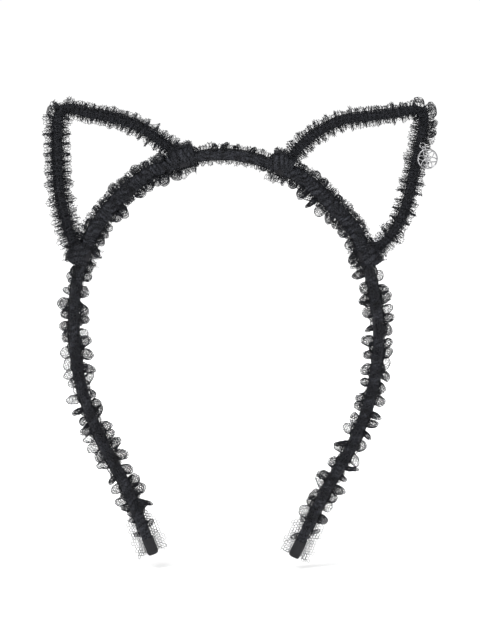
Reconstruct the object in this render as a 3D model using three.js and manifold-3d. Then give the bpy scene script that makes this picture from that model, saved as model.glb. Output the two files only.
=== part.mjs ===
// Animal ears headband: a springy hoop wrapped in tape, two open ears bent from wire, a gathered
// tulle sleeve over all of it, and a small openwork charm that hangs from one ear.
//
// Frame: millimetres. The hoop lies in the XZ plane. +Z is up, -Y is the front and +X is to the
// right seen from the front, which is what "right" means in every name. The origin is where the
// top of the head meets the underside of the crown.

import * as THREE from 'three';
import { mergeVertices } from 'three/addons/utils/BufferGeometryUtils.js';
import Module from 'manifold-3d';

const wasm = await Module();
wasm.setup();

// ---------------------------------------------------------------- driving dimensions
const CLEARANCE = 0.3;           // between any two pieces that lie against each other

const CORE_THICKNESS = 2.2;      // plastic strip inside the hoop
const CORE_DEPTH = 5.4;
const TAPE_THICKNESS = 0.6;      // tape wound round the strip

const WIRE_RADIUS = 0.9;         // ear wire
const WRAP_THICKNESS = 0.5;      // tape wound round the ear wire

const THREAD_RADIUS = 0.2;       // the thread each tulle sleeve is gathered on
const BINDING_THICKNESS = 0.6;   // tape binding that holds a wire foot to the hoop
const BINDING_LENGTH = 4.5;

const CAP_LENGTH = 7;            // cap on each tip of the hoop
const CAP_THICKNESS = 0.7;

const CROWN_RADIUS = 3.9;        // outer reach of the tulle from the middle of what it covers
const SHOULDER_RADIUS = 5.8;
const ARM_RADIUS = 6.7;
const EAR_INNER_RADIUS = 3.9;
const EAR_OUTER_RADIUS = 5.4;

const FLEX_HEIGHT = -45;         // height at which each arm of the hoop starts to bend outwards
const FLEX_GAP = 1.1;            // break in the strip and its tape at that height

const CHARM_RADIUS = 4.3;
const CHARM_THICKNESS = 0.9;
const CHARM_LEAN = THREE.MathUtils.degToRad(20.6);
const RING_RADIUS = 1.1;         // jump ring, to the middle of its wire
const RING_WIRE = 0.25;
const EYE_RADIUS = 0.7;          // eye soldered to the charm's rim
const EYE_WIRE = 0.2;
const LOOP_RADIUS = 0.8;         // thread loop that carries the jump ring
const LOOP_WIRE = 0.15;

// Middle line of the hoop from the left tip over the crown to the right tip, as x and z.
const HOOP_POINTS = [
  [-31.2, -163.2], [-42.2, -136], [-53.1, -115], [-61, -93.2], [-64, -67.7], [-61.9, -45.7],
  [-55.8, -28.2], [-45.6, -14.9], [-31, -3.2], [-13, 2.9], [2, 3.9], [16.2, 0.9],
  [31, -5.4], [43.5, -16.2], [54.3, -29], [60, -45.7], [63.9, -69.7], [61.4, -94.2],
  [54, -115.8], [42, -137.2], [28.8, -164.5],
];

// Each ear: where its feet lie along the hoop, as x of the inner foot and z of the outer one, and
// the bends of its wire in between.
const EARS = {
  left: {
    side: -1,
    innerFoot: [-15, -20.5],
    outerFoot: [-34.5, -41],
    bends: [
      [-26, 8.6], [-35.9, 15.2], [-46.5, 19.2], [-58, 21.4], [-66.4, 23.3], [-69.6, 21.9],
      [-70.7, 18], [-70.8, 8.3], [-69.7, -12.1], [-66.6, -26],
    ],
  },
  right: {
    side: 1,
    innerFoot: [19.5, 26],
    outerFoot: [-35, -41.5],
    bends: [
      [30.6, 7.2], [39.3, 14], [49, 18.4], [60.7, 20], [72, 21.6], [79.4, 22.6], [82.3, 20.9],
      [82.6, 17], [80.9, 8.3], [77.9, -6], [74.4, -19.6], [69.4, -29],
    ],
  },
};

// Where the charm hangs: the middle of its jump ring, in front of the right ear's outer leg.
const RING_CENTRE = [81.7, -6.9, 7.9];

const STATION_GAP = 6.5;         // longest stretch between two sections of a piece

// ---------------------------------------------------------------- worked out from those
const TAPE_HALF = CORE_THICKNESS / 2 + CLEARANCE + TAPE_THICKNESS;
const TAPE_HALF_DEPTH = CORE_DEPTH / 2 + CLEARANCE + TAPE_THICKNESS;
const WRAP_RADIUS = WIRE_RADIUS + CLEARANCE + WRAP_THICKNESS;
const FOOT_OFFSET = TAPE_HALF + CLEARANCE + WIRE_RADIUS + 0.2;
const HOOP_THREAD_OFFSET = TAPE_HALF + CLEARANCE + THREAD_RADIUS;
const EAR_THREAD_OFFSET = WRAP_RADIUS + CLEARANCE + THREAD_RADIUS;
const SLEEVE_BORE = HOOP_THREAD_OFFSET + THREAD_RADIUS + CLEARANCE;
const SLEEVE_BORE_DEPTH = TAPE_HALF_DEPTH + CLEARANCE;
const EAR_BORE = EAR_THREAD_OFFSET + THREAD_RADIUS + CLEARANCE;

// ---------------------------------------------------------------- materials
const MATERIALS = {
  core: new THREE.MeshStandardMaterial({ color: 0x16161a, roughness: 0.6, metalness: 0 }),
  tape: new THREE.MeshStandardMaterial({ color: 0x0d0e12, roughness: 0.55, metalness: 0 }),
  wire: new THREE.MeshStandardMaterial({ color: 0x54565a, roughness: 0.4, metalness: 0.9 }),
  tulle: new THREE.MeshStandardMaterial({ color: 0x17181d, roughness: 0.8, metalness: 0 }),
  thread: new THREE.MeshStandardMaterial({ color: 0x08080a, roughness: 0.7, metalness: 0 }),
  cap: new THREE.MeshStandardMaterial({ color: 0x101013, roughness: 0.5, metalness: 0 }),
  silver: new THREE.MeshStandardMaterial({ color: 0xc4c5c9, roughness: 0.25, metalness: 1 }),
};

const headband = new THREE.Group();

function addPiece(name, geometry, material) {
  const mesh = new THREE.Mesh(geometry, MATERIALS[material]);
  mesh.name = name;
  headband.add(mesh);
  return mesh;
}

// ---------------------------------------------------------------- curves in the hoop's plane
function planeCurve(points) {
  const curve = new THREE.CatmullRomCurve3(points.map(([x, z]) => new THREE.Vector3(x, 0, z)));
  curve.arcLengthDivisions = 1200;
  return curve;
}

// One place on a curve: the point, the direction of travel and the direction to its left.
function placeAt(curve, u) {
  const point = curve.getPointAt(u);
  const along = curve.getTangentAt(u);
  return { point, along, across: new THREE.Vector3(-along.z, 0, along.x), u };
}

// The fraction of a curve's length, between from and to, at which a coordinate takes a value.
function whereCoordinate(curve, axis, value, from, to) {
  let [low, high] = [from, to];
  const rising = curve.getPointAt(to)[axis] > curve.getPointAt(from)[axis];
  for (let i = 0; i < 40; i += 1) {
    const middle = (low + high) / 2;
    if ((curve.getPointAt(middle)[axis] < value) === rising) low = middle;
    else high = middle;
  }
  return (low + high) / 2;
}

// Stations along a whole curve, close together only where it bends. Every piece on the curve takes
// its sections from these, so that pieces inside one another run parallel.
function markStations(curve, longest, sharpest = 0.3) {
  const fine = 3000;
  const total = curve.getLength();
  curve.stations = [placeAt(curve, 0)];
  for (let i = 1; i <= fine; i += 1) {
    const place = placeAt(curve, i / fine);
    const last = curve.stations[curve.stations.length - 1];
    const turned = place.along.angleTo(last.along);
    if ((place.u - last.u) * total > longest || turned > sharpest) curve.stations.push(place);
  }
  return curve;
}

function placesAlong(curve, from, to) {
  const close = 0.8 / curve.getLength();
  const between = curve.stations.filter(({ u }) => u > from + close && u < to - close);
  return [placeAt(curve, from), ...between, placeAt(curve, to)];
}

// ---------------------------------------------------------------- solids along a curve
// Sections are rings of [across, depth] pairs.
function ovalSection(halfAcross, halfDepth, sides = 8) {
  const turn = Math.PI / sides;
  const reach = 1 / Math.cos(turn);
  return Array.from({ length: sides }, (_, i) => {
    const angle = turn + (i * 2 * Math.PI) / sides;
    return [halfAcross * reach * Math.cos(angle), halfDepth * reach * Math.sin(angle)];
  });
}

function stripSection(halfAcross, halfDepth, corner) {
  return [
    [halfAcross, -halfDepth + corner], [halfAcross, halfDepth - corner],
    [halfAcross - corner, halfDepth], [-halfAcross + corner, halfDepth],
    [-halfAcross, halfDepth - corner], [-halfAcross, -halfDepth + corner],
    [-halfAcross + corner, -halfDepth], [halfAcross - corner, -halfDepth],
  ];
}

function signedVolume(positions, triangles) {
  const [a, b, c] = [new THREE.Vector3(), new THREE.Vector3(), new THREE.Vector3()];
  let total = 0;
  for (let i = 0; i < triangles.length; i += 3) {
    [a, b, c].forEach((corner, k) => corner.fromArray(positions, triangles[i + k] * 3));
    total += a.dot(b.cross(c));
  }
  return total;
}

function closedGeometry(positions, triangles) {
  const outward = signedVolume(positions, triangles) > 0 ? triangles : [...triangles].reverse();
  const geometry = new THREE.BufferGeometry();
  geometry.setAttribute('position', new THREE.Float32BufferAttribute(positions, 3));
  geometry.setIndex(outward);
  geometry.computeVertexNormals();
  return geometry;
}

// A solid swept along places. outerAt gives the section at a place. With innerAt it is a sleeve,
// open at both ends; without it the ends are closed.
function sweptSolid(places, outerAt, innerAt = null) {
  const positions = [];
  const triangles = [];
  const sides = outerAt(places[0], 0).length;
  const addRing = (place, section) => {
    const start = positions.length / 3;
    for (const [across, depth] of section) {
      const corner = place.point.clone().addScaledVector(place.across, across);
      positions.push(corner.x, corner.y + depth, corner.z);
    }
    return start;
  };
  const joinRings = (a, b, flip) => {
    for (let i = 0; i < sides; i += 1) {
      const j = (i + 1) % sides;
      const quad = [a + i, a + j, b + j, a + i, b + j, b + i];
      triangles.push(...(flip ? quad.reverse() : quad));
    }
  };
  const addSkin = (sectionAt, flip) => {
    const rings = places.map((place, i) => addRing(place, sectionAt(place, i / (places.length - 1))));
    for (let i = 1; i < rings.length; i += 1) joinRings(rings[i - 1], rings[i], flip);
    return [rings[0], rings[rings.length - 1]];
  };
  const [outerStart, outerEnd] = addSkin(outerAt, false);
  if (innerAt) {
    const [innerStart, innerEnd] = addSkin(innerAt, true);
    joinRings(innerStart, outerStart, false);
    joinRings(outerEnd, innerEnd, false);
  } else {
    for (let i = 1; i < sides - 1; i += 1) {
      triangles.push(outerStart, outerStart + i + 1, outerStart + i);
      triangles.push(outerEnd, outerEnd + i, outerEnd + i + 1);
    }
  }
  return closedGeometry(positions, triangles);
}

// ---------------------------------------------------------------- the hoop
const hoop = markStations(planeCurve(HOOP_POINTS), STATION_GAP);
const HOOP_LENGTH = hoop.getLength();
const CROWN_U = whereCoordinate(hoop, 'x', 0, 0.3, 0.7);
const LEFT_FLEX_U = whereCoordinate(hoop, 'z', FLEX_HEIGHT, 0.15, CROWN_U);
const RIGHT_FLEX_U = whereCoordinate(hoop, 'z', FLEX_HEIGHT, CROWN_U, 0.85);
const HALF_FLEX_GAP_U = FLEX_GAP / 2 / HOOP_LENGTH;
const CAP_U = CAP_LENGTH / HOOP_LENGTH;

function addCore(name, from, to) {
  const section = stripSection(CORE_THICKNESS / 2, CORE_DEPTH / 2, 0.5);
  addPiece(name, sweptSolid(placesAlong(hoop, from, to), () => section), 'core');
}

function addTape(name, from, to) {
  const bore = stripSection(TAPE_HALF - TAPE_THICKNESS, TAPE_HALF_DEPTH - TAPE_THICKNESS, 0.5);
  const skin = stripSection(TAPE_HALF, TAPE_HALF_DEPTH, 0.9);
  addPiece(name, sweptSolid(placesAlong(hoop, from, to), () => skin, () => bore), 'tape');
}

// A blind cap that hides the cut end of the strip and its tape. endU is the tip, 0 or 1.
function addEndCap(name, endU) {
  const inwards = endU === 0 ? 1 : -1;
  const floorU = endU + (inwards * CAP_THICKNESS) / HOOP_LENGTH;
  const mouthU = endU + inwards * CAP_U;
  const bore = [TAPE_HALF + CLEARANCE, TAPE_HALF_DEPTH + CLEARANCE];
  const skin = bore.map((half) => half + CAP_THICKNESS);
  const block = sweptSolid(
    placesAlong(hoop, Math.min(endU, mouthU), Math.max(endU, mouthU)),
    () => stripSection(...skin, 1),
  );
  const past = mouthU + (inwards * 1) / HOOP_LENGTH;
  const hollow = sweptSolid(
    placesAlong(hoop, Math.min(floorU, past), Math.max(floorU, past)),
    () => stripSection(...bore, 0.7),
  );
  addPiece(name, fromManifold(toManifold(block).subtract(toManifold(hollow))), 'cap');
}

// ---------------------------------------------------------------- joining and cutting
function toManifold(geometry) {
  const bare = geometry.clone();
  bare.deleteAttribute('normal');
  if (bare.attributes.uv) bare.deleteAttribute('uv');
  const merged = mergeVertices(bare, 1e-4);
  return new wasm.Manifold(new wasm.Mesh({
    numProp: 3,
    vertProperties: new Float32Array(merged.attributes.position.array),
    triVerts: new Uint32Array(merged.index.array),
  }));
}

function fromManifold(solid) {
  const { numProp, vertProperties, triVerts } = solid.getMesh();
  const positions = [];
  for (let i = 0; i < vertProperties.length; i += numProp) {
    positions.push(...vertProperties.slice(i, i + 3));
  }
  return closedGeometry(positions, Array.from(triVerts));
}

// ---------------------------------------------------------------- tulle sleeves
// A gathered sleeve's outer envelope swells and narrows a little along its length and tapers at
// both ends, where it is drawn in by its thread.
function addSleeve(name, curve, from, to, radius, bore, phase) {
  const reachAt = (fraction) => {
    const swell = 1 + 0.06 * Math.sin(phase + fraction * 17) + 0.04 * Math.sin(2 * phase + fraction * 31);
    const drawnIn = Math.min(1, 0.86 + 1.4 * Math.min(fraction, 1 - fraction));
    return radius * Math.min(1, swell) * drawnIn;
  };
  const outerAt = (_, fraction) => {
    const reach = Math.max(reachAt(fraction), bore[0] + 0.5);
    return ovalSection(reach, Math.max(reach, bore[1] + 0.5));
  };
  const hole = ovalSection(...bore);
  addPiece(name, sweptSolid(placesAlong(curve, from, to), outerAt, () => hole), 'tulle');
}

function addGatherThread(name, curve, from, to, offset) {
  const section = ovalSection(THREAD_RADIUS, THREAD_RADIUS, 4)
    .map(([across, depth]) => [across + offset, depth]);
  addPiece(name, sweptSolid(placesAlong(curve, from, to), () => section), 'thread');
}

// ---------------------------------------------------------------- ears
function offsetFromHoop(u, offset) {
  const place = placeAt(hoop, u);
  const point = place.point.addScaledVector(place.across, offset);
  return [point.x, point.z];
}

// Where an ear's two feet lie along the hoop. Each pair runs from the free end of the wire to the
// place where the leg leaves the hoop.
function footPlaces(ear) {
  const inner = ear.innerFoot.map((x) => whereCoordinate(hoop, 'x', x, LEFT_FLEX_U, RIGHT_FLEX_U));
  const [from, to] = ear.side < 0 ? [LEFT_FLEX_U - 0.02, CROWN_U] : [CROWN_U, RIGHT_FLEX_U + 0.02];
  const outer = ear.outerFoot.map((z) => whereCoordinate(hoop, 'z', z, from, to));
  return { inner, outer };
}

function earCurve(ear) {
  const { inner, outer } = footPlaces(ear);
  const rise = 0.3;              // the wire starts to leave the hoop at the end of its foot
  const foot = ([a, b], riseA, riseB) => [
    offsetFromHoop(a, FOOT_OFFSET + riseA),
    offsetFromHoop((a + b) / 2, FOOT_OFFSET),
    offsetFromHoop(b, FOOT_OFFSET + riseB),
  ];
  const curve = planeCurve([...foot(inner, 0, rise), ...ear.bends, ...foot(outer, rise, 0)]);
  return markStations(curve, STATION_GAP);
}

// A short winding of tape round both the hoop and the wire foot that lies on it.
function addBinding(name, footU) {
  const middle = (footU[0] + footU[1]) / 2;
  const half = BINDING_LENGTH / 2 / HOOP_LENGTH;
  const ringAt = (grow) => {
    const under = -TAPE_HALF - CLEARANCE - grow;
    const over = FOOT_OFFSET + WIRE_RADIUS + CLEARANCE + grow;
    const flank = TAPE_HALF_DEPTH + CLEARANCE + grow;
    return [
      [under, -flank + 1], [under + 1, -flank], [TAPE_HALF, -flank], [over, -1.4 - grow / 2],
      [over, 1.4 + grow / 2], [TAPE_HALF, flank], [under + 1, flank], [under, flank - 1],
    ];
  };
  const places = placesAlong(hoop, middle - half, middle + half);
  addPiece(name, sweptSolid(places, () => ringAt(BINDING_THICKNESS), () => ringAt(0)), 'tape');
}

// ---------------------------------------------------------------- the charm
// The charm's own axes: its middle, the way up to its jump ring, and the way across.
const ringCentre = new THREE.Vector3(...RING_CENTRE);
const CHARM_UP = new THREE.Vector3(-Math.sin(CHARM_LEAN), 0, Math.cos(CHARM_LEAN));
const EYE_DISTANCE = CHARM_RADIUS + EYE_RADIUS - EYE_WIRE / 2;
const charmCentre = ringCentre.clone().addScaledVector(CHARM_UP, -EYE_DISTANCE - RING_RADIUS);

// Turns a shape drawn in its own XY plane to stand in the hoop's plane, leaning like the charm.
const standUpright = new THREE.Matrix4()
  .makeRotationY(-CHARM_LEAN)
  .multiply(new THREE.Matrix4().makeRotationX(Math.PI / 2));

function circlePath(x, y, radius, divisions) {
  const path = new THREE.Path();
  for (let i = 0; i < divisions; i += 1) {
    const angle = (i * 2 * Math.PI) / divisions;
    const corner = [x + radius * Math.cos(angle), y + radius * Math.sin(angle)];
    if (i === 0) path.moveTo(...corner);
    else path.lineTo(...corner);
  }
  path.closePath();
  return path;
}

// A round plate pierced by a six-petalled rosette: six round holes about a small middle one, with a
// pointed slot between each pair at the rim.
function rosetteGeometry() {
  const petals = 6;
  const plate = new THREE.Shape(circlePath(0, 0, CHARM_RADIUS, 30).getPoints());
  plate.holes.push(circlePath(0, 0, CHARM_RADIUS * 0.13, 8));
  for (let i = 0; i < petals; i += 1) {
    const angle = (i * 2 * Math.PI) / petals;
    const reach = CHARM_RADIUS * 0.5;
    const [x, y] = [reach * Math.cos(angle), reach * Math.sin(angle)];
    plate.holes.push(circlePath(x, y, CHARM_RADIUS * 0.21, 10));
    const between = angle + Math.PI / petals;
    const corner = (r, a) => [CHARM_RADIUS * r * Math.cos(a), CHARM_RADIUS * r * Math.sin(a)];
    const slot = new THREE.Path();
    slot.moveTo(...corner(0.45, between));
    slot.lineTo(...corner(0.82, between - 0.18));
    slot.lineTo(...corner(0.82, between + 0.18));
    slot.closePath();
    plate.holes.push(slot);
  }
  const geometry = new THREE.ExtrudeGeometry(plate, { depth: CHARM_THICKNESS, bevelEnabled: false });
  return geometry.translate(0, 0, -CHARM_THICKNESS / 2);
}

function addCharm() {
  const eye = new THREE.TorusGeometry(EYE_RADIUS, EYE_WIRE, 6, 14).rotateY(Math.PI / 2);
  eye.translate(0, EYE_DISTANCE, 0);
  const solid = toManifold(rosetteGeometry()).add(toManifold(eye));
  const geometry = fromManifold(solid).applyMatrix4(standUpright);
  addPiece('charm', geometry, 'silver').position.copy(charmCentre);
}

// The jump ring is a turn of wire whose ends don't quite meet, at its upper left.
function addJumpRing() {
  const opening = THREE.MathUtils.degToRad(14);
  const start = THREE.MathUtils.degToRad(70) + opening / 2;
  const arc = new THREE.EllipseCurve(
    0, 0, RING_RADIUS, RING_RADIUS, start, start + 2 * Math.PI - opening, false, 0,
  );
  const path = new THREE.CatmullRomCurve3(arc.getPoints(24).map((p) => new THREE.Vector3(p.x, p.y, 0)));
  const section = new THREE.Shape(circlePath(0, 0, RING_WIRE, 6).getPoints());
  const geometry = new THREE.ExtrudeGeometry(section, { steps: 24, extrudePath: path });
  geometry.rotateZ(Math.PI / 3).applyMatrix4(standUpright);
  addPiece('charm_jump_ring', geometry, 'silver').position.copy(ringCentre);
}

// The thread loop stands square to the jump ring and goes round its topmost wire.
function addThreadLoop() {
  const loop = new THREE.TorusGeometry(LOOP_RADIUS, LOOP_WIRE, 5, 14).rotateY(Math.PI / 2);
  loop.applyMatrix4(standUpright);
  const lift = RING_RADIUS + LOOP_RADIUS - RING_WIRE - LOOP_WIRE - 0.1;
  addPiece('charm_thread_loop', loop, 'thread').position
    .copy(ringCentre).addScaledVector(CHARM_UP, lift);
}

// ---------------------------------------------------------------- building it
function buildHoop() {
  const inset = (CAP_THICKNESS + CLEARANCE) / HOOP_LENGTH;
  const breaks = {
    left_arm: [inset, LEFT_FLEX_U - HALF_FLEX_GAP_U],
    crown: [LEFT_FLEX_U + HALF_FLEX_GAP_U, RIGHT_FLEX_U - HALF_FLEX_GAP_U],
    right_arm: [RIGHT_FLEX_U + HALF_FLEX_GAP_U, 1 - inset],
  };
  for (const [stretch, [from, to]] of Object.entries(breaks)) {
    addCore(`${stretch}_core`, from, to);
    addTape(`${stretch}_tape`, from, to);
  }
  addEndCap('left_end_cap', 0);
  addEndCap('right_end_cap', 1);
}

function buildSleeves() {
  const bore = [SLEEVE_BORE, SLEEVE_BORE_DEPTH];
  const atX = (x) => whereCoordinate(hoop, 'x', x, LEFT_FLEX_U + 0.01, RIGHT_FLEX_U - 0.01);
  const atZ = (z, from, to) => whereCoordinate(hoop, 'z', z, from, to);
  const pastCap = CAP_U + 0.8 / HOOP_LENGTH;
  const belowFlex = 2.2 / HOOP_LENGTH;
  const stretches = {
    crown: [atX(-11), atX(16), CROWN_RADIUS, 0.4],
    left_shoulder: [atZ(-29, LEFT_FLEX_U, CROWN_U), atX(-29.5), SHOULDER_RADIUS, 1.1],
    right_shoulder: [atX(33.5), atZ(-29.5, CROWN_U, RIGHT_FLEX_U), SHOULDER_RADIUS, 2.3],
    left_arm: [pastCap, LEFT_FLEX_U - belowFlex, ARM_RADIUS, 3.1],
    right_arm: [RIGHT_FLEX_U + belowFlex, 1 - pastCap, ARM_RADIUS, 4.2],
  };
  const threadInset = 0.5 / HOOP_LENGTH;
  for (const [stretch, [from, to, radius, phase]] of Object.entries(stretches)) {
    addSleeve(`${stretch}_tulle`, hoop, from, to, radius, bore, phase);
    const ends = [from + threadInset, to - threadInset];
    addGatherThread(`${stretch}_gather_thread`, hoop, ...ends, HOOP_THREAD_OFFSET);
  }
}

// How far along the ear's wire, in millimetres, its wrapping and its tulle keep from the feet and
// from the tip.
const EAR_STRETCHES = {
  left: { wrap: [11.5, 12.5], inner: [17.5, 7.5], outer: [5.5, 18] },
  right: { wrap: [13, 11.5], inner: [18, 7.5], outer: [5.5, 18] },
};

function buildEar(sideName) {
  const ear = EARS[sideName];
  const curve = earCurve(ear);
  const length = curve.getLength();
  const { inner, outer } = footPlaces(ear);
  const stretches = EAR_STRETCHES[sideName];
  const innerOf = ([start]) => start / length;

  const wireSection = ovalSection(WIRE_RADIUS, WIRE_RADIUS, 6);
  const wirePlaces = placesAlong(curve, 0, 1);
  addPiece(`${sideName}_ear_wire`, sweptSolid(wirePlaces, () => wireSection), 'wire');
  addBinding(`${sideName}_ear_inner_binding`, inner);
  addBinding(`${sideName}_ear_outer_binding`, outer);

  const wrapFrom = innerOf(stretches.wrap);
  const wrapTo = 1 - stretches.wrap[1] / length;
  addPiece(
    `${sideName}_ear_wire_tape`,
    sweptSolid(
      placesAlong(curve, wrapFrom, wrapTo),
      () => ovalSection(WRAP_RADIUS, WRAP_RADIUS, 6),
      () => ovalSection(WIRE_RADIUS + CLEARANCE, WIRE_RADIUS + CLEARANCE, 6),
    ),
    'tape',
  );

  // the tip is the place that reaches furthest out and up
  const samples = Array.from({ length: 400 }, (_, i) => (i + 0.5) / 400);
  const outAndUp = (u) => curve.getPointAt(u).x * ear.side + curve.getPointAt(u).z;
  const tipU = samples.reduce((best, u) => (outAndUp(u) > outAndUp(best) ? u : best));
  const bore = [EAR_BORE, EAR_BORE];
  const legs = {
    inner: [innerOf(stretches.inner), tipU - stretches.inner[1] / length, EAR_INNER_RADIUS],
    outer: [tipU + stretches.outer[0] / length, 1 - stretches.outer[1] / length, EAR_OUTER_RADIUS],
  };
  const threadInset = 0.5 / length;
  const outwards = ear.side;
  for (const [leg, [from, to, radius]] of Object.entries(legs)) {
    const name = `${sideName}_ear_${leg}`;
    addSleeve(`${name}_tulle`, curve, from, to, radius, bore, radius + ear.side);
    const ends = [from + threadInset, to - threadInset];
    addGatherThread(`${name}_gather_thread`, curve, ...ends, outwards * EAR_THREAD_OFFSET);
  }
}

buildHoop();
buildSleeves();
buildEar('left');
buildEar('right');
addCharm();
addJumpRing();
addThreadLoop();

export default headband;
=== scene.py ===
"""Animal ears headband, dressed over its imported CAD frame.

Tape is wound over the hoop and the ears. The innermost tulle, drawn up in many layers, is one folded
skin with a net pattern. The tulle over it is open net, with every thread of its hexagons as geometry:
flat pieces of it are gathered into sleeves, pleated frills and small puffs, and left loose as flaps at
the tips. Lengths here are in millimetres until a mesh is made.
"""
import math

import bpy
import numpy as np
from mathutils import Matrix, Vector


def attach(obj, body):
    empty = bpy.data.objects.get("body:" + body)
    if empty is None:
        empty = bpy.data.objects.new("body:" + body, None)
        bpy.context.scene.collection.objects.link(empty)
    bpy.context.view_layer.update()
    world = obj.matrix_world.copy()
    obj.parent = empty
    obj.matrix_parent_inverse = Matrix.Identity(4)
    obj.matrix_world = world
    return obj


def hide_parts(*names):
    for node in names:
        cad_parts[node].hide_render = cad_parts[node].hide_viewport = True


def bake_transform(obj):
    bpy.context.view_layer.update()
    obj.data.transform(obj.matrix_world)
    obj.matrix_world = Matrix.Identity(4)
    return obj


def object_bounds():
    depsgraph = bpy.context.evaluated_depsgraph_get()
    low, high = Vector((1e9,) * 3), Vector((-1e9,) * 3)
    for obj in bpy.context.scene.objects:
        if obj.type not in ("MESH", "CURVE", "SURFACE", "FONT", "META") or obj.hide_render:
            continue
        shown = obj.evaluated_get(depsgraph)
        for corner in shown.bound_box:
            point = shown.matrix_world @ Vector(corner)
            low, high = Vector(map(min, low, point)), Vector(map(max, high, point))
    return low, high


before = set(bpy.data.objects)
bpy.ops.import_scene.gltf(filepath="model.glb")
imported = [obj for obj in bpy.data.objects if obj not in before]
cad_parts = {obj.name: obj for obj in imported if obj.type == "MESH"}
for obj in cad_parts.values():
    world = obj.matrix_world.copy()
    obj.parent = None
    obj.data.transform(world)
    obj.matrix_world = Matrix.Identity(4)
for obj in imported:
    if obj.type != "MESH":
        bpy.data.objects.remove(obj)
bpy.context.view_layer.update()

MM = 0.001
random = np.random.default_rng(20)

# ---------------------------------------------------------------- sizes
THREAD = 0.18                    # width of a thread of the net
CELL = 0.95                      # the net's hexagons, across their flats
OPEN_CELL = 1.1                  # and where the net isn't drawn together
TAPE_HALF = 2.0                  # the taped hoop, from its middle line to its outer face
TAPE_HALF_DEPTH = 3.6            # and to its front
EAR_TAPE = 1.7                   # radius of the taped ear wire
FLEX_HEIGHT = -45.0              # where each arm starts to bend outwards

# Middle line of the hoop from the left tip over the crown to the right tip, as x and z.
HOOP_POINTS = [
    (-31.2, -163.2), (-42.2, -136), (-53.1, -115), (-61, -93.2), (-64, -67.7), (-61.9, -45.7),
    (-55.8, -28.2), (-45.6, -14.9), (-31, -3.2), (-13, 2.9), (2, 3.9), (16.2, 0.9),
    (31, -5.4), (43.5, -16.2), (54.3, -29), (60, -45.7), (63.9, -69.7), (61.4, -94.2),
    (54, -115.8), (42, -137.2), (28.8, -164.5),
]
# The bends of each ear's wire, from where it leaves the crown to where it meets the hoop again.
EAR_POINTS = {
    "left": [
        (-21, 4.6), (-26, 8.6), (-35.9, 15.2), (-46.5, 19.2), (-58, 21.4), (-66.4, 23.3),
        (-69.6, 21.9), (-70.7, 18), (-70.8, 8.3), (-69.7, -12.1), (-66.6, -26), (-63.8, -35),
    ],
    "right": [
        (26, 0.9), (30.6, 7.2), (39.3, 14), (49, 18.4), (60.7, 20), (72, 21.6), (79.4, 22.6),
        (82.3, 20.9), (82.6, 17), (80.9, 8.3), (77.9, -6), (74.4, -19.6), (69.4, -29), (62.5, -36),
    ],
}


# ---------------------------------------------------------------- routes
class Route:
    """A smooth line in the hoop's plane, walked by its length."""

    def __init__(self, points):
        p = np.array(points, float)
        p = np.vstack([2 * p[0] - p[1], p, 2 * p[-1] - p[-2]])
        line = []
        for a, b, c, d in zip(p, p[1:], p[2:], p[3:]):
            line.append(self.between(a, b, c, d, np.linspace(0, 1, 60, endpoint=False)))
        line.append(p[-2][None])
        self.xz = np.vstack(line)
        steps = np.linalg.norm(np.diff(self.xz, axis=0), axis=1)
        self.s = np.concatenate([[0], np.cumsum(steps)])
        self.length = self.s[-1]
        along = np.gradient(self.xz, self.s, axis=0)
        self.along = along / np.linalg.norm(along, axis=1)[:, None]

    @staticmethod
    def between(a, b, c, d, t):
        """Centripetal Catmull-Rom curve from b to c."""
        ab, bc, cd = (np.linalg.norm(q - p) ** 0.5 for p, q in ((a, b), (b, c), (c, d)))
        m1 = (b - a) / ab - (c - a) / (ab + bc) + (c - b) / bc
        m2 = (c - b) / bc - (d - b) / (bc + cd) + (d - c) / cd
        m1, m2 = m1 * bc, m2 * bc
        t = t[:, None]
        curve = (2 * t**3 - 3 * t**2 + 1) * b + (t**3 - 2 * t**2 + t) * m1
        return curve + (-2 * t**3 + 3 * t**2) * c + (t**3 - t**2) * m2

    def around(self, s, across, depth):
        """Points beside the line: across is to its left as it is walked, depth is towards the back."""
        s, across, depth = np.broadcast_arrays(s, across, depth)
        inside = np.clip(s, 0, self.length)
        x, z = (np.interp(inside, self.s, self.xz[:, k]) for k in (0, 1))
        dx, dz = (np.interp(inside, self.s, self.along[:, k]) for k in (0, 1))
        size = np.hypot(dx, dz)
        dx, dz = dx / size, dz / size
        beyond = s - inside
        return np.stack(
            [x + dx * beyond - dz * across, depth + 0 * x, z + dz * beyond + dx * across], axis=-1
        )

    def where(self, axis, value, start=0.0, end=None):
        """The length walked, between start and end, at which x (axis 0) or z (1) takes a value."""
        near = (self.s >= start) & (self.s <= (self.length if end is None else end))
        return float(self.s[near][np.argmin(np.abs(self.xz[near, axis] - value))])


# ---------------------------------------------------------------- meshes
def add_mesh(name, points, faces, smooth=True):
    """An object from points in millimetres and a list of arrays of faces."""
    mesh = bpy.data.meshes.new(name)
    flat = [f for group in faces for f in np.asarray(group).tolist()]
    mesh.from_pydata((np.asarray(points) * MM).tolist(), [], flat)
    mesh.validate()
    if smooth:
        mesh.shade_smooth()
    obj = bpy.data.objects.new(name, mesh)
    bpy.context.scene.collection.objects.link(obj)
    return obj


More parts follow.
